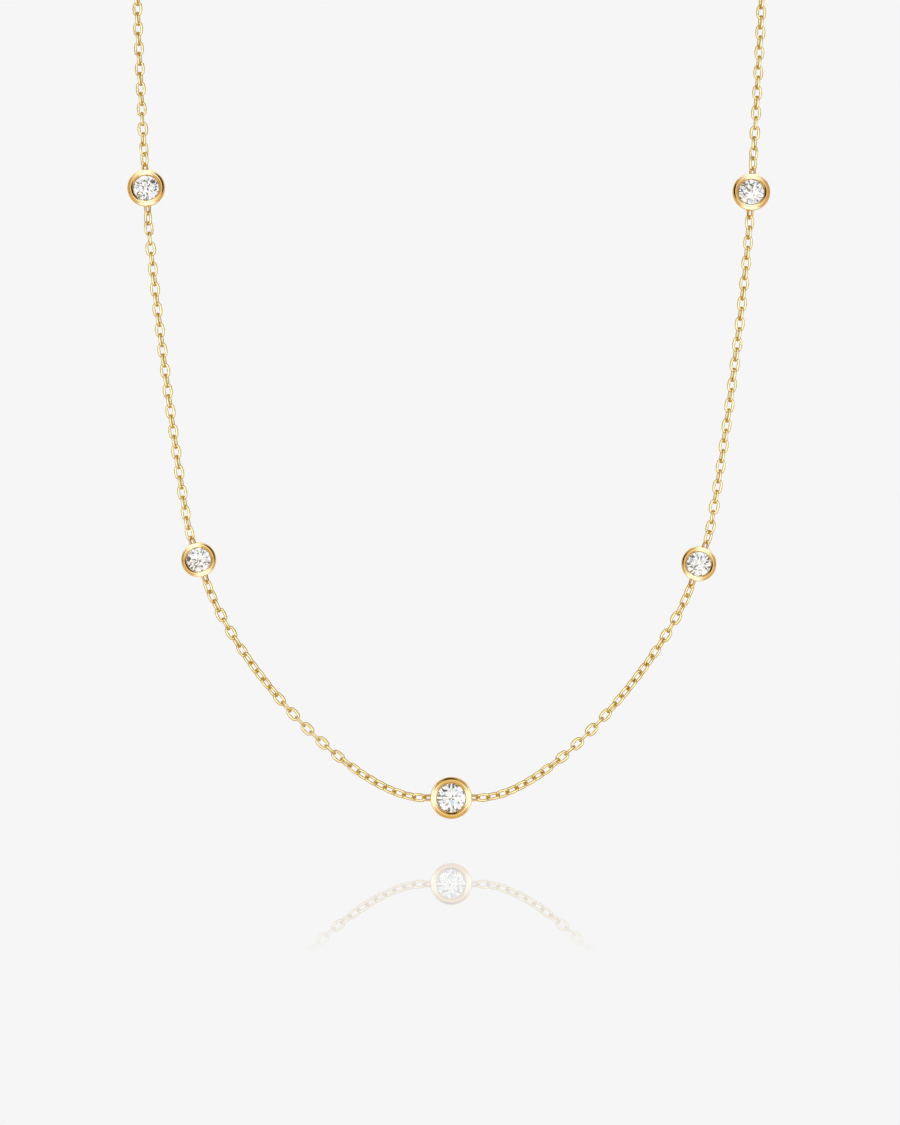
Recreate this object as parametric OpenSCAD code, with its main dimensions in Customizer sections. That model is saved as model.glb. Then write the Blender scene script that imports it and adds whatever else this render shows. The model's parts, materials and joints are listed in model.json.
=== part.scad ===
// Station necklace: five round stones in round bezels along a fine chain of oval links.
// It is drawn as it hangs when worn, in millimetres, with +Z up and its front towards -Y.
// The origin is where the chain's end ring rests on the nape of the neck.

/* [Chain] */
// Thickness of the wire of a link
wire_d = 0.32; // [0.28:0.01:0.33]
// Width of a link over its wire
link_w = 1.31; // [1.28:0.01:1.4]
// Air between two links that hold each other
link_air = 0.13; // [0.11:0.01:0.15]
// Links between an upper and a lower station
side_links = 32; // [30:2:32]
// Links between a lower station and the centre
front_links = 31; // [29:2:31]
// Links from an upper station round to the clasp
hung_links = 126; // [122:2:128]
// How many of those are cut one by one, from the station on
neck_links = 52; // [20:2:54]

/* [Hang] */
// Height of the nape above the middle of the centre stone
drop = 134; // [130:1:138]
// Distance from the nape forward to the centre stone
reach = 106; // [102:1:110]
// How far the shown front leans back
lean = 10; // [6:1:12]
// Height over which it leans
lean_rise = 97; // [90:1:105]
// How strongly the chain leaves the nape sideways
nape_pull = 58; // [54:1:62]
// How strongly it rises out of the shown front
rise_pull = 51; // [48:1:56]

/* [Bezels] */
// Depth of a bezel as a share of its diameter
depth_share = 0.46; // [0.44:0.01:0.5]
// Step from the rounded rim in to the cup behind it
cup_step = 0.08; // [0.06:0.01:0.12]
// Taper of the cup towards its open back
cup_taper = 0.3; // [0.1:0.05:0.4]
// Width of the open back as a share of the stone's width
back_share = 0.6; // [0.5:0.05:0.65]
// How far a soldered ring stands out from its bezel
ring_out = 1.05; // [1:0.05:1.3]
// Turn of a soldered ring away from the front view
ring_turn = 58; // [52:1:64]

/* [Stones] */
// How much of a stone's edge the rim covers
rim_cover = 0.12; // [0.08:0.01:0.16]
// Width of the table as a share of the stone's width
table_share = 0.57; // [0.52:0.01:0.62]
// Height of the crown as a share of the stone's width
crown_share = 0.15; // [0.12:0.01:0.16]
// Slope of the main facets below the girdle
pavilion_angle = 40.8; // [39:0.2:41.4]
// Thickness of the girdle
girdle = 0.09; // [0.06:0.01:0.12]
// Air between a stone and its seat
stone_air = 0.05; // [0.03:0.01:0.07]

/* [Clasp] */
// Outer diameter of the clasp's ring
clasp_d = 5.5; // [5:0.5:7]
// Thickness of the clasp's tube
clasp_tube = 1.1; // [0.9:0.1:1.3]
// Outer diameter of the clasp's eye
eye_d = 1.9; // [1.8:0.1:2.4]
// Thickness of the eye's wire
eye_wire = 0.45; // [0.4:0.05:0.5]
// Outer diameter of the ring at the other end of the chain
end_ring_d = 3.2; // [3:0.1:4]
// Thickness of that ring's wire
end_ring_wire = 0.6; // [0.5:0.1:0.7]

/* [Hidden] */
PLACES = ["upper_left", "lower_left", "centre", "lower_right", "upper_right"];
BETWEEN = ["side_left", "front_left", "front_right", "side_right"];

gold = [0.93, 0.74, 0.38];
clear = [0.93, 0.95, 0.98];

// Stations in the order in which the chain runs through them, from the left to the right.
// x, height above the centre, way that the chain runs in degrees from straight down
// towards the right, outer diameter of the bezel, width of its rim, turn of its stone
X = 0;
RISE = 1;
HEADING = 2;
BEZEL_D = 3;
RIM_W = 4;
STONE_TURN = 5;
STATIONS = [
  [-37.0, 74.4, 3.5, 4.6, 0.77, 8],
  [-30.5, 29.0, 19.5, 4.25, 0.66, 20],
  [0.3, 0, 90, 5.1, 0.82, 0],
  [30.5, 28.5, 160, 4.25, 0.66, 11],
  [37.0, 73.9, 176.5, 4.6, 0.77, 5],
];
// Points where the chain rises out of the shown front: x, height above the centre, heading
LEFT_RISE = [-38.25, 99.5, 1.6];
RIGHT_RISE = [38.4, 99.5, 178.4];

// Pulls of the four stretches between the stations at their start and at their end
START_PULL = 0;
END_PULL = 1;
PULLS = [[7.9, 2.6], [11.3, 8.0], [8.8, 8.8], [2.6, 11.4]];
rise_end_pull = 7;

// Turn of the links away from the front view along a stretch: share of the way, degrees
SIDE_TWIST = [[0.16, 21], [0.84, 21]];
LEFT_FRONT_TWIST = [[0.13, -12], [0.18, -12], [0.3, -45], [0.38, -45], [0.49, -5], [0.66, -5],
                    [0.78, -45], [0.95, -50]];
RIGHT_FRONT_TWIST = [[0.05, -50], [0.22, -45], [0.34, -5], [0.46, -5], [0.58, -45], [0.7, -45],
                     [0.82, -12], [0.87, -12]];
HUNG_TWIST = [[0.045, 21], [1, 21]];
TWISTS = [SIDE_TWIST, LEFT_FRONT_TWIST, RIGHT_FRONT_TWIST, SIDE_TWIST];
LINKS = [side_links, front_links, front_links, side_links];

// The side of the links that counts as their front: between the stations, and on the way
// round the neck, where the chain also runs straight back
FACING_FRONT = [0, -1, 0];
FACING_ROUND = [0, -1, 1];
WAY_LEFT = [-1, 0, 0];

wire_r = wire_d / 2;
link_r = (link_w - wire_d) / 2;
hold = wire_d + link_air;
route_steps = 48;
way_step = 0.5;
tube_sides = 8;
tube_rings = 32;
round_fn = 32;
rim_fn = 96;

// How far a soldered ring's wire runs into the wall of its bezel
solder_depth = 0.35;
// Air between a stone's crown and the rim over it
crown_air = 1.5 * stone_air;
crown_slope = 2 * crown_share / (1 - table_share);
pavilion_slope = tan(pavilion_angle);
// Where the lower facets end towards the point, as a share of the stone's radius
lower_end = 0.23;
// How far a cut runs past what it cuts
past = 1;

// Share of the eye's wire that is sunk into the clasp's tube
eye_sunk = 0.7;
knob_turn = 40;
knob_d = 0.6;
// Air between the clasp and the end ring that it holds
clasp_air = 2 * link_air;

function unit(v) = v / norm(v);
// Radius of the middle of a ring's wire
function wire_middle(outer_d, wire) = (outer_d - wire) / 2;

// The stations lie in one sheet that leans back as it rises.
function height(station) = station[RISE] - drop;
function sheet_y(z) = -reach + lean * pow((z + drop) / lean_rise, 2);
function sheet_slope(z) = 2 * lean * (z + drop) / pow(lean_rise, 2);
function place(station) = [station[X], sheet_y(height(station)), height(station)];
function along(station) =
  let(h = station[HEADING])
  unit([sin(h), -cos(h) * sheet_slope(height(station)), -cos(h)]);

// Middle of the wire at the tip of the ring before (-1) or after (1) a station
function ring_tip(station, side) =
  place(station) + side * (station[BEZEL_D] / 2 + ring_out - wire_r) * along(station);

// A route is a list of cubic curves, each with four points, and u runs from 0 to their number.
function curve(from, from_way, from_pull, to, to_way, to_pull) =
  [from, from + from_pull * from_way, to - to_pull * to_way, to];
function at(route, u) =
  let(k = min(floor(u), len(route) - 1), t = u - k, c = route[k])
  pow(1 - t, 3) * c[0] + 3 * pow(1 - t, 2) * t * c[1] + 3 * (1 - t) * t * t * c[2] + t * t * t * c[3];
// Length covered so far and u, at small steps along a route
function marks(route) =
  let(last = route_steps * len(route))
  [for (i = 0, s = 0; i <= last;
        s = s + norm(at(route, (i + 1) / route_steps) - at(route, i / route_steps)), i = i + 1)
    [s, i / route_steps]];
function total(marks) = marks[len(marks) - 1][0];
function point(route, marks, s) = at(route, lookup(s, marks));

function station_route(i) = [
  curve(ring_tip(STATIONS[i], 1), along(STATIONS[i]), PULLS[i][START_PULL],
        ring_tip(STATIONS[i + 1], -1), along(STATIONS[i + 1]), PULLS[i][END_PULL])];

// Middles of the clasp's eye and of the end ring, and where the chain's last links hold them
nape_y = end_ring_d / 2;
eye_x = -(clasp_d + eye_d) / 2 + eye_sunk * eye_wire;
end_ring_x = clasp_d / 2 - clasp_tube - clasp_air - end_ring_wire / 2
  + wire_middle(end_ring_d, end_ring_wire);
eye_tip = [eye_x - wire_middle(eye_d, eye_wire), nape_y, 0];
end_ring_tip = [end_ring_x + wire_middle(end_ring_d, end_ring_wire), nape_y, 0];

// Both routes run from the upper station up and round to the nape.
left_hung_route = [
  curve(ring_tip(STATIONS[0], -1), -along(STATIONS[0]), rise_end_pull,
        place(LEFT_RISE), -along(LEFT_RISE), rise_end_pull),
  curve(place(LEFT_RISE), -along(LEFT_RISE), rise_pull, eye_tip, -WAY_LEFT, nape_pull)];
right_hung_route = [
  curve(ring_tip(STATIONS[4], 1), along(STATIONS[4]), rise_end_pull,
        place(RIGHT_RISE), along(RIGHT_RISE), rise_end_pull),
  curve(place(RIGHT_RISE), along(RIGHT_RISE), rise_pull, end_ring_tip, WAY_LEFT, nape_pull)];

function pitch(marks, links) = (total(marks) + hold) / links;
// Length along the route at the middle of link i, counted from 1
function link_place(i, pitch) = (i - 0.5) * pitch - hold / 2;

// The twist table with the turn of the soldered rings at its ends. After an odd number of
// links the ring itself comes next in the row of quarter turns, after an even one it lags.
function ring_to_ring(twist, number) =
  concat([[0, -ring_turn]], twist, [[1, number % 2 == 1 ? -ring_turn : 90 - ring_turn]]);
function from_ring(twist) = concat([[0, -ring_turn]], twist);

// Half a ring of wire in XZ, open towards -Z
module bend(radius, wire_r) {
  rotate([90, 0, 0])
    rotate_extrude(angle = 180, $fn = round_fn)
      translate([radius, 0]) circle(r = wire_r, $fn = round_fn);
}

// One oval link along Z that lies flat in XZ, with its wire's middle length tall between its tips
module oval_link(length) {
  straight = length - 2 * link_r;
  for (side = [-1, 1])
    translate([side * link_r, 0, -straight / 2]) cylinder(h = straight, r = wire_r, $fn = round_fn);
  for (end = [0, 180])
    rotate([end, 0, 0]) translate([0, 0, straight / 2]) bend(link_r, wire_r);
}

// Puts its children at a point with their Z along a way and their Y turned from the facing side
module set_on(point, way, facing, turn) {
  z = unit(way);
  front = unit(facing - (facing * z) * z);
  y = cos(turn) * front + sin(turn) * cross(z, front);
  x = cross(y, z);
  multmatrix([
    [x[0], y[0], z[0], point[0]],
    [x[1], y[1], z[1], point[1]],
    [x[2], y[2], z[2], point[2]],
    [0, 0, 0, 1]])
    children();
}

// Links 1 to last of a stretch that has the given number, every second one a quarter turn on.
// The turns are by the right hand about the way from the station, and hand is -1 against it.
module links(route, facing, twist, number, last, hand = 1) {
  marks = marks(route);
  pitch = pitch(marks, number);
  inner_half = (pitch - hold) / 2;
  for (i = [1 : last]) {
    s = link_place(i, pitch);
    a = point(route, marks, s - inner_half);
    b = point(route, marks, s + inner_half);
    set_on((a + b) / 2, b - a, facing, hand * lookup(i / (number + 1), twist) + 90 * i)
      oval_link(pitch + hold);
  }
}

// A plain tube along the end of a route, for the stretch whose links are not cut
module tube(route, marks, from, to) {
  sides = tube_sides;
  rows = [for (k = [0 : tube_rings - 1])
    let(s = from + (to - from) * k / (tube_rings - 1),
        z = unit(point(route, marks, min(s + way_step, to)) - point(route, marks, s - way_step)),
        x = unit(cross(z, FACING_ROUND)),
        y = cross(z, x))
    [for (j = [0 : sides - 1])
      point(route, marks, s) + link_w / 2 * (cos(360 * j / sides) * x + sin(360 * j / sides) * y)]];
  polyhedron(
    points = [for (row = rows) each row],
    faces = concat(
      [[for (j = [0 : sides - 1]) j]],
      [for (k = [0 : tube_rings - 2]) for (j = [0 : sides - 1])
        let(here = k * sides, next = here + sides, beside = (j + 1) % sides)
        [here + j, next + j, next + beside, here + beside]],
      [[for (j = [sides - 1 : -1 : 0]) (tube_rings - 1) * sides + j]]));
}

module chain_between(i) {
  color(gold)
    links(station_route(i), FACING_FRONT, ring_to_ring(TWISTS[i], LINKS[i]), LINKS[i], LINKS[i]);
}

module hung_links(route, hand) {
  color(gold) links(route, FACING_ROUND, from_ring(HUNG_TWIST), hung_links, neck_links, hand);
}

module hung_tube(route, end_wire) {
  marks = marks(route);
  last_tip = neck_links * pitch(marks, hung_links);
  color(gold) tube(route, marks, last_tip + wire_r + link_air, total(marks) - end_wire / 2 - link_air);
}

// Sizes of a station along its own axis, which points out of its front
function rim_r(station) = station[RIM_W] / 2;
function front(station) = station[BEZEL_D] * depth_share / 2;
function rim_height(station) = front(station) - rim_r(station);
function stone_r(station) = station[BEZEL_D] / 2 - station[RIM_W] + rim_cover;
function girdle_height(station) = rim_height(station) - crown_slope * rim_cover - girdle / 2 - crown_air;

module at_station(station) {
  translate(place(station))
    rotate([-atan(sheet_slope(height(station))), 0, 0])
      rotate([0, 180 - station[HEADING], 0])
        children();
}

// Half section of a bezel: the rounded rim and the cup, less the room of the stone
module bezel_section(station) {
  outer = station[BEZEL_D] / 2;
  rim = rim_height(station);
  back = -front(station);
  back_r = back_share * stone_r(station);
  seat_r = stone_r(station) + stone_air;
  seat_top = girdle_height(station) + girdle / 2 + stone_air;
  seat_low = girdle_height(station) - girdle / 2 - stone_air / 2;
  difference() {
    union() {
      translate([outer - rim_r(station), rim]) circle(r = rim_r(station), $fn = round_fn * 2);
      polygon([
        [back_r, back], [outer - cup_step - cup_taper, back], [outer - cup_step, rim],
        [outer - rim_r(station), rim], [back_r, seat_low]]);
    }
    polygon([
      [0, back - past], [back_r, back - past], [back_r, seat_low - (seat_r - back_r) * pavilion_slope],
      [seat_r, seat_low], [seat_r, seat_top], [0, seat_top + seat_r * crown_slope]]);
  }
}

// The end of a link that stands out of a bezel, soldered to its wall
module soldered_ring(station) {
  outer = station[BEZEL_D] / 2;
  bend_start = outer + ring_out - wire_r - link_r;
  root = outer - solder_depth;
  for (side = [-1, 1])
    translate([side * link_r, 0, root]) cylinder(h = bend_start - root, r = wire_r, $fn = round_fn);
  translate([0, 0, bend_start]) bend(link_r, wire_r);
}

module bezel(station) {
  color(gold) at_station(station) {
    rotate([90, 0, 0]) rotate_extrude($fn = rim_fn) bezel_section(station);
    rotate([0, 0, -ring_turn])
      for (side = [0, 180])
        rotate([0, side, 0]) soldered_ring(station);
  }
}

// A round brilliant: table, stars, kites and upper facets, girdle, lower facets and mains
module brilliant(r) {
  half = girdle / 2;
  table_r = table_share * r;
  star_r = (table_r + r) / 2;
  lower_r = lower_end * r;
  function ring(n, first, radius, z) = [for (k = [0 : n - 1])
    [radius * cos(360 * k / n + first), radius * sin(360 * k / n + first), z]];
  // Number of the first point of each ring of corners
  table = 0;
  star = 8;
  top = 16;
  low = 32;
  lower = 48;
  tip = 56;
  polyhedron(
    points = concat(
      ring(8, 0, table_r, half + (r - table_r) * crown_slope),
      ring(8, 22.5, star_r / cos(22.5), half + (r - star_r) * crown_slope),
      ring(16, 0, r, half),
      ring(16, 0, r, -half),
      ring(8, 22.5, lower_r / cos(22.5), -half - (r - lower_r) * pavilion_slope),
      [[0, 0, -half - r * pavilion_slope]]),
    faces = concat(
      [[for (k = [7 : -1 : 0]) table + k]],
      [for (k = [0 : 7]) [table + k, table + (k + 1) % 8, star + k]],
      [for (k = [0 : 7]) [table + k, star + k, top + 2 * k, star + (k + 7) % 8]],
      [for (k = [0 : 7]) [star + k, top + 2 * k + 1, top + 2 * k]],
      [for (k = [0 : 7]) [star + k, top + (2 * k + 2) % 16, top + 2 * k + 1]],
      [for (j = [0 : 15]) [top + j, top + (j + 1) % 16, low + (j + 1) % 16, low + j]],
      [for (k = [0 : 7]) [lower + k, low + 2 * k, low + 2 * k + 1]],
      [for (k = [0 : 7]) [lower + k, low + 2 * k + 1, low + (2 * k + 2) % 16]],
      [for (k = [0 : 7]) [tip, lower + (k + 7) % 8, low + 2 * k, lower + k]]));
}

module stone(station) {
  color(clear) at_station(station)
    rotate([90, 0, 0])
      translate([0, 0, girdle_height(station)])
        rotate([0, 0, station[STONE_TURN]])
          brilliant(stone_r(station));
}

module wire_ring(outer_d, wire) {
  rotate_extrude($fn = 2 * round_fn)
    translate([wire_middle(outer_d, wire), 0]) circle(d = wire, $fn = round_fn);
}

// A spring ring, closed, with the eye that the left chain holds and the knob of its slide
module clasp() {
  color(gold) translate([0, nape_y, 0]) {
    rotate([90, 0, 0]) wire_ring(clasp_d, clasp_tube);
    translate([eye_x, 0, 0]) rotate([90, 0, 0]) wire_ring(eye_d, eye_wire);
    rotate([0, knob_turn, 0])
      translate([0, 0, wire_middle(clasp_d, clasp_tube)])
        cylinder(h = clasp_tube, d = knob_d, $fn = round_fn);
  }
}

module end_ring() {
  color(gold) translate([end_ring_x, nape_y, 0]) wire_ring(end_ring_d, end_ring_wire);
}

for (i = [0 : len(PLACES) - 1]) {
  stone(STATIONS[i]);
  bezel(STATIONS[i]);
}
for (i = [0 : len(BETWEEN) - 1])
  chain_between(i);
hung_links(left_hung_route, -1);  // chain_neck_left
hung_links(right_hung_route, 1);  // chain_neck_right
hung_tube(left_hung_route, eye_wire);  // chain_back_left
hung_tube(right_hung_route, end_ring_wire);  // chain_back_right
clasp();
end_ring();
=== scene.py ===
# Station necklace: five round stones in gold bezels along a fine chain of oval links,
# hung as it is worn. Sizes are in millimetres until they go into a mesh, and angles in degrees.
import bisect
import json
import math
import random

import bpy
from mathutils import Matrix, Vector

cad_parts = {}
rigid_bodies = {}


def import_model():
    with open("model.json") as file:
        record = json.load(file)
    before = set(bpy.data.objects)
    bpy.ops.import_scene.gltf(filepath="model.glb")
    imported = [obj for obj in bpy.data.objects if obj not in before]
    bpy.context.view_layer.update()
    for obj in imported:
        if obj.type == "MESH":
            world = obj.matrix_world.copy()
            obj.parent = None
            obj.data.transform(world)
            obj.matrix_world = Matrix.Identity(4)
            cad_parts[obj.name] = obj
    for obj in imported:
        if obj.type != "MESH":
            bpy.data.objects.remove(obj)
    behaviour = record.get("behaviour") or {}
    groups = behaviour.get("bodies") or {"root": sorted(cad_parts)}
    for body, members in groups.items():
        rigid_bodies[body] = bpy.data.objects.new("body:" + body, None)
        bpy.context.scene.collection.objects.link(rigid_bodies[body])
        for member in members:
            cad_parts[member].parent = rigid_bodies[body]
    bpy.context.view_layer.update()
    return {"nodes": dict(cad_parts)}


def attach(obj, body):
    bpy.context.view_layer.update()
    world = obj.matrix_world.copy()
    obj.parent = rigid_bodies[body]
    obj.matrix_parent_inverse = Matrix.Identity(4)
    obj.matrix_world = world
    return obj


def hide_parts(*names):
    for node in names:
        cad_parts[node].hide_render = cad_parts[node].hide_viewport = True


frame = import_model()
mm = 0.001
upright = math.radians(90)
print("frame loaded:", len(frame["nodes"]), "nodes")


# Camera: straight on, from far away, with the photograph's frame of 109.8 by 137.2 mm

cameraSetup = {
    "frameHeight": 137.2,
    "middle": (0.15, -105.3),  # x and z at the middle of the picture
    "frontY": -106,  # depth at which the frame is that high
    "distance": 2000,  # from there to the camera
    "sensor": 36,
    "clip": (0.01, 50),  # nearest and farthest, in metres
}


def makeCamera():
    x, z = cameraSetup["middle"]
    y = cameraSetup["frontY"] - cameraSetup["distance"]
    bpy.ops.object.camera_add(location=(x * mm, y * mm, z * mm), rotation=(upright, 0, 0))
    camera = bpy.context.object
    camera.name = "camera"
    camera.data.sensor_width = cameraSetup["sensor"]
    camera.data.lens = cameraSetup["sensor"] * cameraSetup["distance"] / cameraSetup["frameHeight"]
    camera.data.clip_start, camera.data.clip_end = cameraSetup["clip"]
    bpy.context.scene.camera = camera


makeCamera()
print("camera set")


# Helpers for modelling by hand

mergeDistance = 0.0005
onPlane = 1e-7  # in metres: a point that is this near to a plane lies on it


def objectMode():
    if bpy.context.object and bpy.context.object.mode != "OBJECT":
        bpy.ops.object.mode_set(mode="OBJECT")


def deselectAll():
    objectMode()
    bpy.ops.object.select_all(action="DESELECT")


def only(*pieces):  # selects these pieces, the first one active
    deselectAll()
    for piece in pieces:
        piece.select_set(True)
    bpy.context.view_layer.objects.active = pieces[0]
    return pieces[0]


def editMode(piece, action="DESELECT"):
    only(piece)
    bpy.ops.object.mode_set(mode="EDIT")
    bpy.ops.mesh.select_mode(type="VERT")
    bpy.ops.mesh.select_all(action=action)


def pick(piece, test):  # edit mode, with only the points selected that pass the test
    editMode(piece)
    bpy.ops.object.mode_set(mode="OBJECT")
    for point in piece.data.vertices:
        point.select = test(point.co)
    bpy.ops.object.mode_set(mode="EDIT")


def mergedOutwards(piece):  # doubles merged, then normals outwards
    editMode(piece, "SELECT")
    bpy.ops.mesh.remove_doubles(threshold=mergeDistance * mm)
    bpy.ops.mesh.normals_make_consistent(inside=False)
    bpy.ops.object.mode_set(mode="OBJECT")


def settled(piece):  # place, turn and size go into the mesh
    only(piece)
    bpy.ops.object.transform_apply(location=True, rotation=True, scale=True)
    return piece


def joined(pieces, name):
    piece = only(*pieces)
    if len(pieces) > 1:
        bpy.ops.object.join()
    piece.name = piece.data.name = name
    return piece


def copyAt(piece, matrix):  # a copy with its own mesh, put in place there
    copy = piece.copy()
    copy.data = piece.data.copy()
    copy.data.transform(matrix)
    bpy.context.scene.collection.objects.link(copy)
    return copy


def dressed(piece, material):
    piece.data.materials.clear()
    piece.data.materials.append(material)
    return piece


def finish(piece, nodes, angle=40):  # smooth up to that angle, and in the place of its nodes
    only(piece)
    bpy.ops.object.shade_smooth_by_angle(angle=math.radians(angle))
    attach(piece, "root")
    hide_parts(*nodes)


# How it hangs: the stations in the order in which the chain runs through them, left to right.
# A heading is the way of the chain, 0 straight down and 90 to the right. A pull is how far
# a curve keeps to the way that it has at one of its ends.

hang = {
    "drop": 134,  # from the nape down to the middle of the centre stone
    "reach": 106,  # and forward to it
    "lean": 10,  # the shown front leans back this far ...
    "leanRise": 97,  # ... over this height
    "riseEndPull": 7,  # of the short stretch above an upper station, at both ends
    "risePull": 51,  # of the way round the neck, at its front end
    "napePull": 58,  # and at the nape
    "routeSteps": 48,  # along each curve
}
stations = [
    {"name": "UpperLeft", "node": "upper_left", "x": -37.0, "rise": 74.4, "heading": 3.5,
     "width": 4.6, "rim": 0.77},
    {"name": "LowerLeft", "node": "lower_left", "x": -30.5, "rise": 29.0, "heading": 19.5,
     "width": 4.25, "rim": 0.66},
    {"name": "Centre", "node": "centre", "x": 0.3, "rise": 0, "heading": 90,
     "width": 5.1, "rim": 0.82},
    {"name": "LowerRight", "node": "lower_right", "x": 30.5, "rise": 28.5, "heading": 160,
     "width": 4.25, "rim": 0.66},
    {"name": "UpperRight", "node": "upper_right", "x": 37.0, "rise": 73.9, "heading": 176.5,
     "width": 4.6, "rim": 0.77},
]
pulls = [(7.9, 2.6), (11.3, 8.0), (8.8, 8.8), (2.6, 11.4)]  # of the stretches between them
leftRise = {"x": -38.25, "rise": 99.5, "heading": 1.6}  # where the chain rises out of the front
rightRise = {"x": 38.4, "rise": 99.5, "heading": 178.4}


def height(spot):
    return spot["rise"] - hang["drop"]


def sheetY(z):
    return -hang["reach"] + hang["lean"] * ((z + hang["drop"]) / hang["leanRise"]) ** 2


def sheetSlope(z):
    return 2 * hang["lean"] * (z + hang["drop"]) / hang["leanRise"] ** 2


def place(spot):
    return Vector((spot["x"], sheetY(height(spot)), height(spot)))


def along(spot):  # the way that the chain runs there
    heading = math.radians(spot["heading"])
    rise = -math.cos(heading)
    return Vector((math.sin(heading), rise * sheetSlope(height(spot)), rise)).normalized()


def curve(start, startWay, startPull, end, endWay, endPull):
    return start, start + startPull * startWay, end - endPull * endWay, end


def curvePoint(handles, t):
    a, b, c, d = handles
    return (1 - t) ** 3 * a + 3 * (1 - t) ** 2 * t * b + 3 * (1 - t) * t * t * c + t ** 3 * d


def routeOf(*curves):
    steps = hang["routeSteps"]
    points = [curvePoint(handles, step / steps) for handles in curves for step in range(steps)]
    points.append(curves[-1][-1])
    lengths = [0]
    for start, end in zip(points, points[1:]):
        lengths.append(lengths[-1] + (end - start).length)
    return {"curves": curves, "lengths": lengths, "length": lengths[-1]}


def routePoint(route, length):
    lengths = route["lengths"]
    step = min(max(bisect.bisect(lengths, length) - 1, 0), len(lengths) - 2)
    share = (length - lengths[step]) / (lengths[step + 1] - lengths[step])
    number, t = divmod((step + share) / hang["routeSteps"], 1)
    if number == len(route["curves"]):  # the very end of the last curve
        number, t = number - 1, 1
    return curvePoint(route["curves"][int(number)], t)


# Finishes

goldFinishes = {
    "bezelGold": {"colour": (0.92, 0.69, 0.33, 1), "shade": (0.88, 0.63, 0.28, 1),
                  "edge": (1, 0.78, 0.4, 1), "roughness": (0.12, 0.18)},
    "chainGold": {"colour": (0.77, 0.63, 0.3, 1), "shade": (0.6, 0.44, 0.14, 1),
                  "edge": (1, 0.75, 0.34, 1), "roughness": (0.09, 0.16)},
}
goldTexture = {
    "waveSize": 0.6,
    "waveDepth": 0.0015,
    "grainSize": 0.05,
    "grainDepth": 0.0002,
    "shadeTo": 0.25,  # the waves have the shade up to this height ...
    "colourFrom": 0.45,  # ... and the colour from this one on
}
stoneFinish = {
    "colour": (1, 1, 1, 1),
    "refraction": 2.42,
    "roughness": (0, 0.02),
    "hazeSize": 0.6,
}


def nodeMaterial(name):
    material = bpy.data.materials.new(name)
    material.use_nodes = True
    tree = material.node_tree
    return material, tree.nodes, tree.links, tree.nodes["Principled BSDF"]


def noiseNode(nodes, links, size):  # noise with spots of that size
    where = nodes.new("ShaderNodeTexCoord")
    noise = nodes.new("ShaderNodeTexNoise")
    noise.inputs["Scale"].default_value = 1 / (size * mm)
    links.new(where.outputs["Object"], noise.inputs["Vector"])
    return noise


def roughFrom(nodes, links, noise, ends, skin):  # roughness of a surface, between two ends
    rough = nodes.new("ShaderNodeMapRange")
    rough.inputs["To Min"].default_value = ends[0]
    rough.inputs["To Max"].default_value = ends[1]
    links.new(noise.outputs["Fac"], rough.inputs["Value"])
    links.new(rough.outputs["Result"], skin.inputs["Roughness"])


def bumpNode(nodes, links, source, depth, before=None):
    bump = nodes.new("ShaderNodeBump")
    bump.inputs["Strength"].default_value = 1
    bump.inputs["Distance"].default_value = depth * mm
    links.new(source.outputs["Fac"], bump.inputs["Height"])
    if before:
        links.new(before.outputs["Normal"], bump.inputs["Normal"])
    return bump


def goldMaterial(name):
    look = goldFinishes[name]
    material, nodes, links, skin = nodeMaterial(name)
    skin.inputs["Metallic"].default_value = 1
    skin.inputs["Specular Tint"].default_value = look["edge"]
    wave = noiseNode(nodes, links, goldTexture["waveSize"])
    grain = noiseNode(nodes, links, goldTexture["grainSize"])
    tint = nodes.new("ShaderNodeMix")
    tint.data_type = "RGBA"
    tint.inputs["A"].default_value = look["shade"]
    tint.inputs["B"].default_value = look["colour"]
    spread = nodes.new("ShaderNodeMapRange")
    spread.inputs["From Min"].default_value = goldTexture["shadeTo"]
    spread.inputs["From Max"].default_value = goldTexture["colourFrom"]
    links.new(wave.outputs["Fac"], spread.inputs["Value"])
    links.new(spread.outputs["Result"], tint.inputs["Factor"])
    links.new(tint.outputs["Result"], skin.inputs["Base Color"])
    roughFrom(nodes, links, grain, look["roughness"], skin)
    waves = bumpNode(nodes, links, wave, goldTexture["waveDepth"])
    grains = bumpNode(nodes, links, grain, goldTexture["grainDepth"], waves)
    links.new(grains.outputs["Normal"], skin.inputs["Normal"])
    return material


def stoneMaterial(look):
    material, nodes, links, skin = nodeMaterial("clearStone")
    skin.inputs["Base Color"].default_value = look["colour"]
    skin.inputs["IOR"].default_value = look["refraction"]
    skin.inputs["Transmission Weight"].default_value = 1
    haze = noiseNode(nodes, links, look["hazeSize"])
    roughFrom(nodes, links, haze, look["roughness"], skin)
    return material


bezelGold = goldMaterial("bezelGold")
chainGold = goldMaterial("chainGold")
clearStone = stoneMaterial(stoneFinish)
print("finishes made")


# Chain: one oval link is modelled, and copies of it are laid along each stretch

link = {
    "wire": 0.32,
    "width": 1.31,
    "sideWire": 0.39,  # seen from the front, at the middle of a long side
    "tipWire": 0.29,  # and at the tips
    "roundSteps": 12,
    "wireSides": 6,
    "wobble": 3,  # how far a link may lie off its turn
    "smoothAngle": 70,
}
soldered = {  # the rings on the bezels that the chain's ends hang in, half an oval each
    "turn": 58,  # away from the front view
    "out": 1.05,  # how far they stand out of their bezels
    "root": 0.35,  # how deep they run into the wall
    "solder": 1.6,  # how much their wire widens at the root
    "solderReach": 0.12,  # how far out of the wall it is wider
    "roundSteps": 16,
    "wireSides": 10,
}
linkRadius = (link["width"] - link["wire"]) / 2

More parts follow.
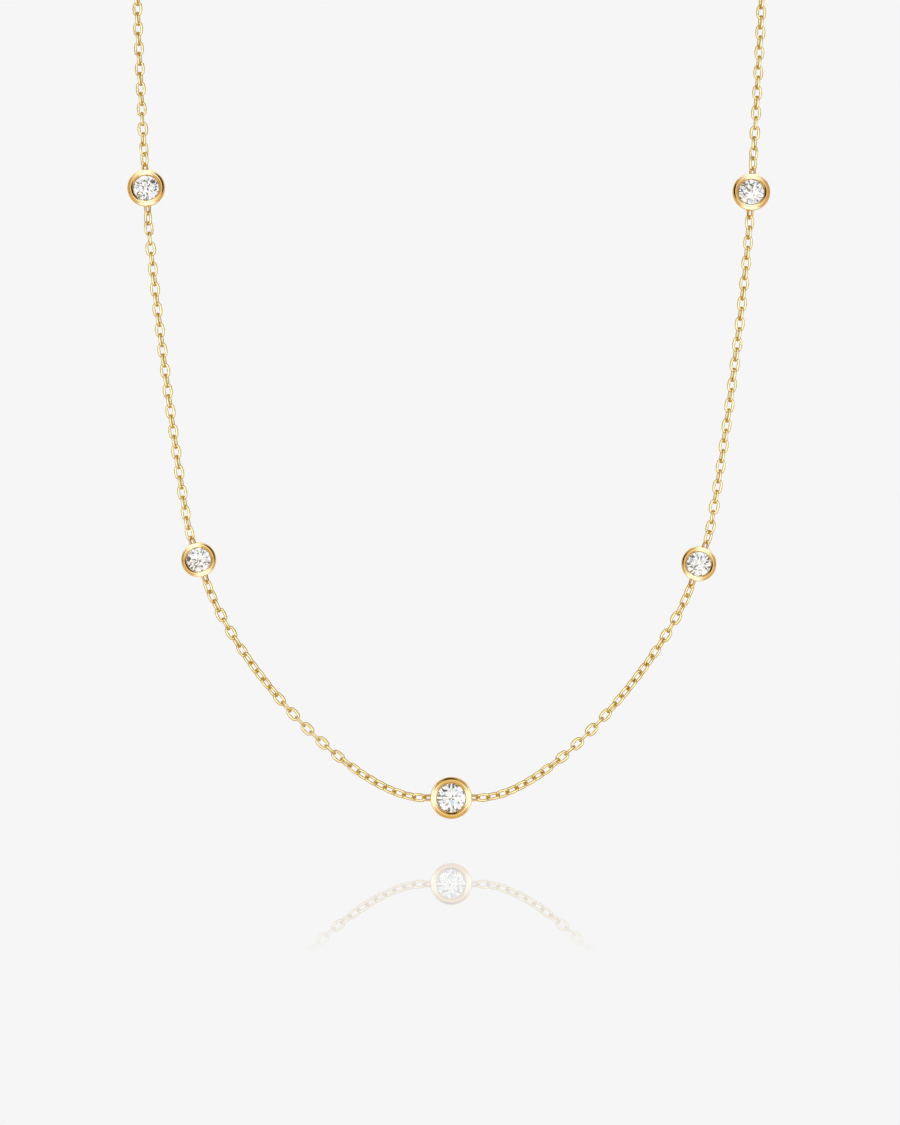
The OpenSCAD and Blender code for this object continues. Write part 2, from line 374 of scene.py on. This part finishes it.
# turns away from the front view, each with its share of the way
sideTwist = [(0.16, 21), (0.84, 21)]
hungTwist = [(0, -soldered["turn"]), (0.045, 21), (1, 21)]
leftFrontTwist = [(0.13, -12), (0.18, -12), (0.3, -45), (0.38, -45), (0.49, -5), (0.66, -5),
                  (0.78, -45), (0.95, -50)]
rightFrontTwist = [(0.05, -50), (0.22, -45), (0.34, -5), (0.46, -5), (0.58, -45), (0.7, -45),
                   (0.82, -12), (0.87, -12)]
chainRows = [  # of links, each between one station and the next
    {"name": "linksSideLeft", "node": "chain_side_left", "number": 32, "twist": sideTwist},
    {"name": "linksFrontLeft", "node": "chain_front_left", "number": 31, "twist": leftFrontTwist},
    {"name": "linksFrontRight", "node": "chain_front_right", "number": 31, "twist": rightFrontTwist},
    {"name": "linksSideRight", "node": "chain_side_right", "number": 32, "twist": sideTwist},
]
neckNumber = 126  # links from an upper station to the nape
facingFront = Vector((0, -1, 0))  # where a link looks that isn't turned
facingRound = Vector((0, -1, 1))  # and on the way round the neck


def wireLoop(name, length, roundSteps, wireSides):  # an oval of wire in XZ, its middle that long
    bpy.ops.mesh.primitive_torus_add(
        major_segments=roundSteps, minor_segments=wireSides, major_radius=linkRadius * mm,
        minor_radius=link["wire"] / 2 * mm, rotation=(upright, 0, 0))
    loop = settled(bpy.context.object)
    stretch = (length / 2 - linkRadius) * mm
    for side in (1, -1):
        pick(loop, lambda point: point.z * side > onPlane)
        bpy.ops.transform.translate(value=(0, 0, side * stretch))
    mergedOutwards(loop)
    loop.name = loop.data.name = name
    return loop


def linkModel(length):  # stouter at the middle of its sides, slimmer at its tips
    loop = wireLoop("link", length, link["roundSteps"], link["wireSides"])
    for side in (1, -1):
        pick(loop, lambda point: point.x * side > 0 and abs(point.z) < onPlane)
        bpy.ops.transform.resize(value=(link["sideWire"] / link["wire"], 1, 1),
                                 center_override=(side * link["width"] / 2 * mm, 0, 0))
        pick(loop, lambda point: point.z * side > 0 and abs(point.x) < onPlane)
        bpy.ops.transform.resize(value=(1, 1, link["tipWire"] / link["wire"]),
                                 center_override=(0, 0, side * length / 2 * mm))
    objectMode()
    return loop


def turnAt(twist, share):
    if share <= twist[0][0]:
        return twist[0][1]
    for (start, first), (end, last) in zip(twist, twist[1:]):
        if share <= end:
            return first + (last - first) * (share - start) / (end - start)
    return twist[-1][1]


def setOn(point, way, facing, turn):  # matrix that puts a link on a route
    z = way.normalized()
    front = (facing - facing.dot(z) * z).normalized()
    y = math.cos(turn) * front + math.sin(turn) * z.cross(front)
    x = y.cross(z)
    return Matrix.Translation(point * mm) @ Matrix((x, y, z)).transposed().to_4x4()


def layLinks(name, nodes, route, facing, twist, number, hand=1):  # hand -1 turns the other way
    hold = link["tipWire"]
    pitch = (route["length"] + hold) / number
    innerHalf = (pitch - hold) / 2
    model = linkModel(pitch + hold)
    chance = random.Random(name)
    pieces = []
    for i in range(1, number + 1):
        middle = (i - 0.5) * pitch - hold / 2
        start = routePoint(route, middle - innerHalf)
        end = routePoint(route, middle + innerHalf)
        across = 90 * i  # each link stands across the one before it
        wobble = chance.uniform(-link["wobble"], link["wobble"])
        turn = hand * turnAt(twist, i / (number + 1)) + across + wobble
        pieces.append(copyAt(model, setOn((start + end) / 2, end - start, facing, math.radians(turn))))
    bpy.data.objects.remove(model)
    finish(dressed(joined(pieces, name), chainGold), nodes, angle=link["smoothAngle"])


def ringToRing(twist, number):  # the twist with the turn of the soldered rings at its ends
    start = -soldered["turn"]
    end = start if number % 2 else start + 90
    return [(0, start)] + twist + [(1, end)]


def ringTip(station, side):  # the middle of a soldered ring's wire, at its tip
    out = station["width"] / 2 + soldered["out"] - link["wire"] / 2
    return place(station) + side * out * along(station)


clasp = {
    "width": 5.5,
    "tube": 1.1,
    "ringSteps": (64, 24),
    "eye": 1.9,
    "eyeWire": 0.45,
    "eyeSunk": 0.7,  # share of the eye's wire that is sunk into the clasp's tube
    "endRing": 3.2,
    "endWire": 0.6,
    "smallSteps": (48, 16),  # of the eye and the end ring
    "air": 0.26,  # between the clasp and the end ring
    "knob": 0.6,
    "knobHeight": 0.5,  # share of the tube
    "knobOut": 0.75,  # share of the tube, from its middle to the knob's
    "knobTurn": 40,
    "knobSides": 24,
    "knobEdge": 0.12,
    "knobEdgeSteps": 4,
}
napeY = clasp["endRing"] / 2  # so that the end ring rests on the nape
eyeMiddle = (clasp["eye"] - clasp["eyeWire"]) / 2  # from its centre to the middle of its wire
endMiddle = (clasp["endRing"] - clasp["endWire"]) / 2
eyeX = -(clasp["width"] + clasp["eye"]) / 2 + clasp["eyeSunk"] * clasp["eyeWire"]  # its centre
endX = clasp["width"] / 2 - clasp["tube"] - clasp["air"] - clasp["endWire"] / 2 + endMiddle


def stationRoute(i):
    start, end = stations[i], stations[i + 1]
    startPull, endPull = pulls[i]
    return routeOf(
        curve(ringTip(start, 1), along(start), startPull, ringTip(end, -1), along(end), endPull))


def hungRoute(station, side, rise, endPoint, endWay):  # up out of the front and round to the nape
    way = side * along(station)
    riseWay = side * along(rise)
    pull = hang["riseEndPull"]
    return routeOf(
        curve(ringTip(station, side), way, pull, place(rise), riseWay, pull),
        curve(place(rise), riseWay, hang["risePull"], endPoint, endWay, hang["napePull"]))


def makeChains():
    for i, row in enumerate(chainRows):
        twist = ringToRing(row["twist"], row["number"])
        layLinks(row["name"], [row["node"]], stationRoute(i), facingFront, twist, row["number"])
    eyeEnd = Vector((eyeX - eyeMiddle, napeY, 0))
    ringEnd = Vector((endX + endMiddle, napeY, 0))
    left = hungRoute(stations[0], -1, leftRise, eyeEnd, Vector((1, 0, 0)))
    right = hungRoute(stations[-1], 1, rightRise, ringEnd, Vector((-1, 0, 0)))
    layLinks("linksNeckLeft", ["chain_neck_left", "chain_back_left"], left, facingRound,
             hungTwist, neckNumber, hand=-1)
    layLinks("linksNeckRight", ["chain_neck_right", "chain_back_right"], right, facingRound,
             hungTwist, neckNumber)


makeChains()
print("chains laid")


# Bezels: the section is drawn point by point, spun round, and two soldered rings are joined to it

bezel = {
    "depthShare": 0.46,  # of its width
    "cupStep": 0.08,  # the cup stands back from the rim ...
    "cupTaper": 0.3,  # ... and narrows towards its back
    "wallTop": 0.9,  # where the cup meets the rim, in half rims below the rim's middle
    "backShare": 0.6,  # the open back, of the stone's width
    "rimCover": 0.12,
    "rimStart": -80,  # where the rim's round starts, from straight out ...
    "rimSweep": 275,  # ... and how far it runs over the front and in to the stone
    "rimSteps": 22,
    "spinSteps": 96,
    "softEdge": 0.05,  # round of the cup's edges
    "stoneAir": 0.05,
    "crownAir": 1.5,  # between rim and crown, times the stone's air
    "girdle": 0.09,
    "crownShare": 0.15,  # height of the crown and width of the table, of the stone's width
    "tableShare": 0.57,
    "pavilionAngle": 40.8,
}


def stationFrame(station):  # matrix of a station: Y runs into its back, -Z along the chain
    return (Matrix.Translation(place(station) * mm)
            @ Matrix.Rotation(-math.atan(sheetSlope(height(station))), 4, "X")
            @ Matrix.Rotation(math.radians(180 - station["heading"]), 4, "Y"))


def bezelSection(station):  # radius and height of each corner, round the section and back again
    outer = station["width"] / 2
    rim = station["rim"] / 2  # radius of its round
    front = station["width"] * bezel["depthShare"] / 2
    rimHeight = front - rim
    stone = outer - station["rim"] + bezel["rimCover"]
    halfGirdle = bezel["girdle"] / 2
    air = bezel["stoneAir"]
    crownSlope = 2 * bezel["crownShare"] / (1 - bezel["tableShare"])
    pavilionSlope = math.tan(math.radians(bezel["pavilionAngle"]))
    girdleHeight = rimHeight - crownSlope * bezel["rimCover"] - halfGirdle - bezel["crownAir"] * air
    seat = stone + air
    seatTop = girdleHeight + halfGirdle + air
    seatLow = girdleHeight - halfGirdle - air / 2
    back = bezel["backShare"] * stone
    soft = bezel["softEdge"]
    wall = outer - bezel["cupStep"]
    wallBack = wall - bezel["cupTaper"]
    turns = [math.radians(bezel["rimStart"] + bezel["rimSweep"] * step / bezel["rimSteps"])
             for step in range(bezel["rimSteps"] + 1)]
    rimRound = [(outer - rim + rim * math.cos(turn), rimHeight + rim * math.sin(turn))
                for turn in turns]
    return [
        (back, -front + soft), (back + soft, -front), (wallBack - soft, -front),
        (wallBack, -front + soft), (wall, rimHeight - rim * bezel["wallTop"]),
        *rimRound, (seat, seatTop), (seat, seatLow), (back, seatLow - (seat - back) * pavilionSlope)]


def spunSection(corners, name):  # in a station's frame, round the Y axis
    bpy.ops.mesh.primitive_plane_add(size=mm)
    piece = bpy.context.object
    editMode(piece, "SELECT")
    bpy.ops.mesh.merge(type="CENTER")
    start = Vector((corners[0][0], -corners[0][1], 0)) * mm
    bpy.ops.transform.translate(value=start)
    for (x, z), (nextX, nextZ) in zip(corners, corners[1:] + corners[:1]):
        bpy.ops.mesh.extrude_region_move(
            TRANSFORM_OT_translate={"value": ((nextX - x) * mm, -(nextZ - z) * mm, 0)})
    bpy.ops.mesh.select_all(action="SELECT")
    bpy.ops.mesh.remove_doubles(threshold=mergeDistance * mm)
    bpy.ops.mesh.spin(steps=bezel["spinSteps"], angle=2 * math.pi, center=(0, 0, 0), axis=(0, 1, 0))
    mergedOutwards(piece)
    piece.name = piece.data.name = name
    return piece


def solderedRing(station, side):  # half an oval of wire that stands out of the wall
    outer = station["width"] / 2
    root = outer - soldered["root"]
    tip = outer + soldered["out"] - link["wire"] / 2
    ring = wireLoop("ring", 2 * (tip - root), soldered["roundSteps"], soldered["wireSides"])
    editMode(ring, "SELECT")
    bpy.ops.mesh.bisect(plane_co=(0, 0, 0), plane_no=(0, 0, 1), clear_inner=True, use_fill=True)
    bpy.ops.mesh.select_all(action="SELECT")
    solderEnd = soldered["root"] + soldered["solderReach"]
    bpy.ops.mesh.bisect(plane_co=(0, 0, solderEnd * mm), plane_no=(0, 0, 1))
    for wire in (-1, 1):
        pick(ring, lambda point: point.z < onPlane and point.x * wire > 0)
        bpy.ops.transform.resize(value=(soldered["solder"], soldered["solder"], 1),
                                 center_override=(wire * linkRadius * mm, 0, 0))
    mergedOutwards(ring)
    ring.data.transform(Matrix.Rotation(math.radians(90 - 90 * side), 4, "Y")
                        @ Matrix.Translation((0, 0, root * mm)))
    ring.data.transform(Matrix.Rotation(math.radians(-soldered["turn"]), 4, "Z"))
    return ring


def makeBezels():
    for station in stations:
        cup = dressed(spunSection(bezelSection(station), "bezel"), bezelGold)
        rings = [dressed(solderedRing(station, side), bezelGold) for side in (1, -1)]
        piece = joined([cup] + rings, "bezel" + station["name"])
        piece.data.transform(stationFrame(station))
        finish(piece, ["bezel_" + station["node"]])


makeBezels()
print("bezels made")


# Stones: the cut form of the solids is kept and gets its finish

def dressStones():
    for station in stations:
        dressed(frame["nodes"]["stone_" + station["node"]], clearStone)


dressStones()
print("stones dressed")


# Clasp and end ring at the nape, with the measures that stand above the chains

def wireRing(outer, wire, middle, turn, steps):
    bpy.ops.mesh.primitive_torus_add(
        major_segments=steps[0], minor_segments=steps[1],
        major_radius=(outer - wire) / 2 * mm, minor_radius=wire / 2 * mm,
        location=(middle[0] * mm, middle[1] * mm, middle[2] * mm), rotation=(turn, 0, 0))
    return settled(bpy.context.object)


def claspKnob():
    tube = clasp["tube"]
    middle = (clasp["width"] - tube) / 2
    bpy.ops.mesh.primitive_cylinder_add(
        vertices=clasp["knobSides"], radius=clasp["knob"] / 2 * mm,
        depth=clasp["knobHeight"] * tube * mm, location=(0, 0, (middle + clasp["knobOut"] * tube) * mm))
    knob = settled(bpy.context.object)
    rounding = knob.modifiers.new("rounding", "BEVEL")  # soft edges
    rounding.width = clasp["knobEdge"] * mm
    rounding.segments = clasp["knobEdgeSteps"]
    bpy.ops.object.modifier_apply(modifier=rounding.name)
    knob.data.transform(Matrix.Translation((0, napeY * mm, 0))
                        @ Matrix.Rotation(math.radians(clasp["knobTurn"]), 4, "Y"))
    return knob


def makeClasp():
    ring = wireRing(clasp["width"], clasp["tube"], (0, napeY, 0), upright, clasp["ringSteps"])
    eye = wireRing(clasp["eye"], clasp["eyeWire"], (eyeX, napeY, 0), upright, clasp["smallSteps"])
    finish(dressed(joined([ring, eye, claspKnob()], "springRing"), bezelGold), ["clasp"])
    endRing = wireRing(clasp["endRing"], clasp["endWire"], (endX, napeY, 0), 0, clasp["smallSteps"])
    finish(dressed(joined([endRing], "endRing"), bezelGold), ["end_ring"])


makeClasp()
print("clasp made")


# Studio: a pale floor and room, dark cards that draw the streaks on the rims, and soft lights.
# Places in it are given by their way round, 0 right and 90 up, and their angle away from
# the camera's side.

studio = {
    "floorZ": -139.25,
    "floorSize": 12000,
    "pale": (0.921, 0.921, 0.921, 1),
    "mirror": 0.31,  # of the glossy patch in front of the necklace
    "mirrorFades": (-530, -710),  # between these depths in front of the nape
    # colour of the room that the gold mirrors, by the angle away from the camera's side
    "room": [(0, (0.86, 0.69, 0.41)), (20, (0.84, 0.67, 0.39)), (45, (0.8, 0.62, 0.34)),
             (74, (0.72, 0.54, 0.29)), (165, (0.72, 0.54, 0.29)), (172, (0.921, 0.921, 0.921)),
             (180, (0.921, 0.921, 0.921))],
    "cards": [(38, 58), (145, 58), (104, 64)],
    "cardSize": (27, 37),  # half angles of the dark middle and of the soft edge
    "cardShade": 0,
    "lampDistance": 900,
}
panels = {  # the room in the stones: bright panels with dark gaps, and a few glints of blue
    "scale": 5,
    "spread": 0.3,
    "gap": (0.02, 0.1),
    "gapLevel": 0.14,
    "level": 1.3,
    "colour": (1, 1.03, 1.07),
    "glints": [(20, 25), (200, 40), (290, 15)],
    "glintSize": (4, 7),
    "glintColour": (0.3, 0.6, 1),
}
# cool lights before and after each station along the chain, which turn its gold pale there;
# they stand so far away from the direction that the station's front mirrors
shine = [
    {"away": 28, "halfAngles": (14, 26), "brightness": 1.7, "colour": (0.25, 0.5, 1)},
    {"away": 60, "halfAngles": (27, 27), "brightness": 1.2, "colour": (0.33, 0.6, 1)},
    {"away": 95, "halfAngles": (42, 35), "brightness": 1.2, "colour": (0.35, 0.62, 1)},
]
fills = [  # each lights only the pieces whose names start as its lit says
    {"name": "fillLeft", "place": (145, 58), "halfAngles": (28, 28), "brightness": 0.6,
     "colour": (1, 0.8, 0.5), "lit": ("bezelUpperLeft", "bezelLowerLeft", "bezelCentre", "links")},
    {"name": "fillRight", "place": (38, 58), "halfAngles": (28, 28), "brightness": 0.6,
     "colour": (1, 0.8, 0.5), "lit": ("bezelLowerRight", "bezelUpperRight", "bezelCentre", "links")},
    {"name": "fillAbove", "place": (104, 64), "halfAngles": (28, 28), "brightness": 0.6,
     "colour": (1, 0.8, 0.5), "lit": ("bezelUpper", "bezelLower", "links")},
    {"name": "fillFront", "place": (0, 0), "halfAngles": (62, 62), "brightness": 1.4,
     "colour": (0.42, 0.65, 1), "lit": ("linksNeck", "linksSide")},
    {"name": "fillLow", "place": (0, 0), "halfAngles": (50, 50), "brightness": 1.45,
     "colour": (0.45, 0.65, 0.9), "lit": ("linksFront",)},
    {"name": "glowLeft", "place": (180, 40), "halfAngles": (28, 28), "brightness": 1.35,
     "colour": (0.38, 0.6, 1), "lit": ("linksNeckLeft", "linksSideLeft", "linksFrontLeft")},
    {"name": "glowRight", "place": (0, 40), "halfAngles": (28, 28), "brightness": 1.35,
     "colour": (0.38, 0.6, 1), "lit": ("linksNeckRight", "linksSideRight", "linksFrontRight")},
]
toCamera = Vector((0, -1, 0))


def wayTo(around, away):  # towards a place in the studio, seen from the necklace
    around = math.radians(around)
    away = math.radians(away)
    out = math.sin(away)
    return Vector((out * math.cos(around), -math.cos(away), out * math.sin(around)))


def clearedNodes(holder):  # the nodes and links of a world or a material, emptied
    holder.use_nodes = True
    holder.node_tree.nodes.clear()
    return holder.node_tree.nodes, holder.node_tree.links


def multiplied(nodes, links, first, second):
    node = nodes.new("ShaderNodeMath")
    node.operation = "MULTIPLY"
    links.new(first, node.inputs[0])
    links.new(second, node.inputs[1])
    return node.outputs["Value"]


def mixed(nodes, links, share, first, second):
    mix = nodes.new("ShaderNodeMixShader")
    links.new(share, mix.inputs["Fac"])
    links.new(first, mix.inputs[1])
    links.new(second, mix.inputs[2])
    return mix.outputs["Shader"]


def cosineTo(nodes, links, direction, way):  # cosine of the angle between a direction and a way
    node = nodes.new("ShaderNodeVectorMath")
    node.operation = "DOT_PRODUCT"
    node.inputs[1].default_value = way
    links.new(direction, node.inputs[0])
    return node.outputs["Value"]


def mapped(nodes, links, value, start, end, low, high):  # from start to end, smoothly from low to high
    ramp = nodes.new("ShaderNodeMapRange")
    ramp.interpolation_type = "SMOOTHSTEP"
    ramp.inputs["From Min"].default_value = start
    ramp.inputs["From Max"].default_value = end
    ramp.inputs["To Min"].default_value = low
    ramp.inputs["To Max"].default_value = high
    links.new(value, ramp.inputs["Value"])
    return ramp.outputs["Result"]


def patch(nodes, links, direction, spot, size, level, inside):  # a round of the room, soft at its edge
    middle = math.cos(math.radians(size[0]))
    edge = math.cos(math.radians(size[1]))
    cosine = cosineTo(nodes, links, direction, wayTo(*spot))
    return mapped(nodes, links, cosine, edge, middle, level, inside)


def roomColour(nodes, links, direction, stops):
    angle = nodes.new("ShaderNodeMath")
    angle.operation = "ARCCOSINE"
    links.new(cosineTo(nodes, links, direction, toCamera), angle.inputs[0])
    share = nodes.new("ShaderNodeMath")
    share.operation = "MULTIPLY"
    share.inputs[1].default_value = 1 / math.pi
    links.new(angle.outputs["Value"], share.inputs[0])
    ramp = nodes.new("ShaderNodeValToRGB")
    links.new(share.outputs["Value"], ramp.inputs["Fac"])
    while len(ramp.color_ramp.elements) < len(stops):
        ramp.color_ramp.elements.new(0.5)
    for element, (degrees, colour) in zip(ramp.color_ramp.elements, stops):
        element.position = degrees / 180
        element.color = (*colour, 1)
    return ramp.outputs["Color"]


def goldLight(nodes, links, direction):  # the room that the gold mirrors
    light = nodes.new("ShaderNodeBackground")
    links.new(roomColour(nodes, links, direction, studio["room"]), light.inputs["Color"])
    cards = [patch(nodes, links, direction, card, studio["cardSize"], 1, studio["cardShade"])
             for card in studio["cards"]]
    level = cards[0]
    for card in cards[1:]:
        level = multiplied(nodes, links, level, card)
    links.new(level, light.inputs["Strength"])
    return light.outputs["Background"]


def stoneLight(nodes, links, direction):  # the room behind the stones
    light = nodes.new("ShaderNodeBackground")
    cells = nodes.new("ShaderNodeTexVoronoi")
    cells.feature = "DISTANCE_TO_EDGE"
    cells.inputs["Scale"].default_value = panels["scale"]
    cells.inputs["Randomness"].default_value = panels["spread"]
    links.new(direction, cells.inputs["Vector"])
    level = mapped(nodes, links, cells.outputs["Distance"], *panels["gap"],
                   panels["gapLevel"], panels["level"])
    links.new(level, light.inputs["Strength"])
    colour = None
    for glint in panels["glints"]:
        mix = nodes.new("ShaderNodeMix")
        mix.data_type = "RGBA"
        mix.inputs["A"].default_value = (*panels["colour"], 1)
        mix.inputs["B"].default_value = (*panels["glintColour"], 1)
        links.new(patch(nodes, links, direction, glint, panels["glintSize"], 0, 1), mix.inputs["Factor"])
        if colour:
            links.new(colour, mix.inputs["A"])
        colour = mix.outputs["Result"]
    links.new(colour, light.inputs["Color"])
    return light.outputs["Background"]


def makeRoom():
    world = bpy.data.worlds.new("room")
    bpy.context.scene.world = world
    nodes, links = clearedNodes(world)
    direction = nodes.new("ShaderNodeTexCoord").outputs["Generated"]
    rays = nodes.new("ShaderNodeLightPath").outputs
    room = mixed(nodes, links, rays["Is Transmission Ray"],
                 goldLight(nodes, links, direction), stoneLight(nodes, links, direction))
    backdrop = nodes.new("ShaderNodeBackground")
    backdrop.inputs["Color"].default_value = studio["pale"]
    whole = mixed(nodes, links, rays["Is Camera Ray"], room, backdrop.outputs["Background"])
    out = nodes.new("ShaderNodeOutputWorld")
    links.new(whole, out.inputs["Surface"])


def makeFloor():
    bpy.ops.mesh.primitive_plane_add(
        size=studio["floorSize"] * mm, location=(0, 0, studio["floorZ"] * mm))
    floor = settled(bpy.context.object)
    floor.name = "floor"
    material = bpy.data.materials.new("paleFloor")
    nodes, links = clearedNodes(material)
    where = nodes.new("ShaderNodeTexCoord")
    spot = nodes.new("ShaderNodeSeparateXYZ")
    links.new(where.outputs["Object"], spot.inputs["Vector"])
    start, end = studio["mirrorFades"]
    fade = mapped(nodes, links, spot.outputs["Y"], start * mm, end * mm, studio["mirror"], 0)
    pale = nodes.new("ShaderNodeEmission")
    pale.inputs["Color"].default_value = studio["pale"]
    mirror = nodes.new("ShaderNodeBsdfGlossy")
    mirror.inputs["Color"].default_value = (1, 1, 1, 1)
    mirror.inputs["Roughness"].default_value = 0
    ground = mixed(nodes, links, fade, pale.outputs["Emission"], mirror.outputs["BSDF"])
    out = nodes.new("ShaderNodeOutputMaterial")
    links.new(ground, out.inputs["Surface"])
    floor.data.materials.append(material)
    # the room, not the floor, is what the necklace mirrors
    floor.visible_diffuse = False
    floor.visible_glossy = False
    floor.visible_transmission = False
    floor.visible_shadow = False


def lampSize(halfAngle):  # how wide a lamp is that looks that large from the necklace
    return 2 * studio["lampDistance"] * math.tan(math.radians(halfAngle)) * mm


def softLight(name, aim, way, across, light, pieces):
    bpy.ops.object.light_add(type="AREA", location=(aim + studio["lampDistance"] * way) * mm)
    lamp = bpy.context.object
    lamp.name = name
    lamp.data.shape = "ELLIPSE"
    lamp.data.size = lampSize(light["halfAngles"][0])
    lamp.data.size_y = lampSize(light["halfAngles"][1])
    # watts at which the whole of its round has that brightness
    lamp.data.energy = light["brightness"] * math.pi ** 2 * lamp.data.size * lamp.data.size_y / 4
    lamp.data.color = light["colour"]
    lamp.rotation_euler = Matrix((across, way.cross(across), way)).transposed().to_euler()
    lamp.visible_camera = False
    lit = bpy.data.collections.new(name)
    for piece in pieces:
        lit.objects.link(piece)
    lamp.light_linking.receiver_collection = lit


def makeShine():
    for station in stations:
        front = Vector((0, -1, sheetSlope(height(station)))).normalized()
        mirrored = 2 * front.dot(toCamera) * front - toCamera
        across = mirrored.cross(along(station)).normalized()
        ahead = across.cross(mirrored)
        pieces = [bpy.data.objects["bezel" + station["name"]]]
        for light in shine:
            slant = math.radians(light["away"])
            for side in (-1, 1):
                way = (math.cos(slant) * mirrored + side * math.sin(slant) * ahead).normalized()
                softLight("shine" + station["name"], place(station), way, across, light, pieces)


def makeFills():
    middle = Vector((0, -hang["reach"], hang["leanRise"] / 2 - hang["drop"]))
    for light in fills:
        way = wayTo(*light["place"])
        pieces = [piece for piece in bpy.data.objects if piece.name.startswith(light["lit"])]
        softLight(light["name"], middle, way, way.orthogonal().normalized(), light, pieces)


makeRoom()
makeFloor()
makeShine()
makeFills()
bpy.context.scene.view_settings.view_transform = "Standard"
print("studio lit")
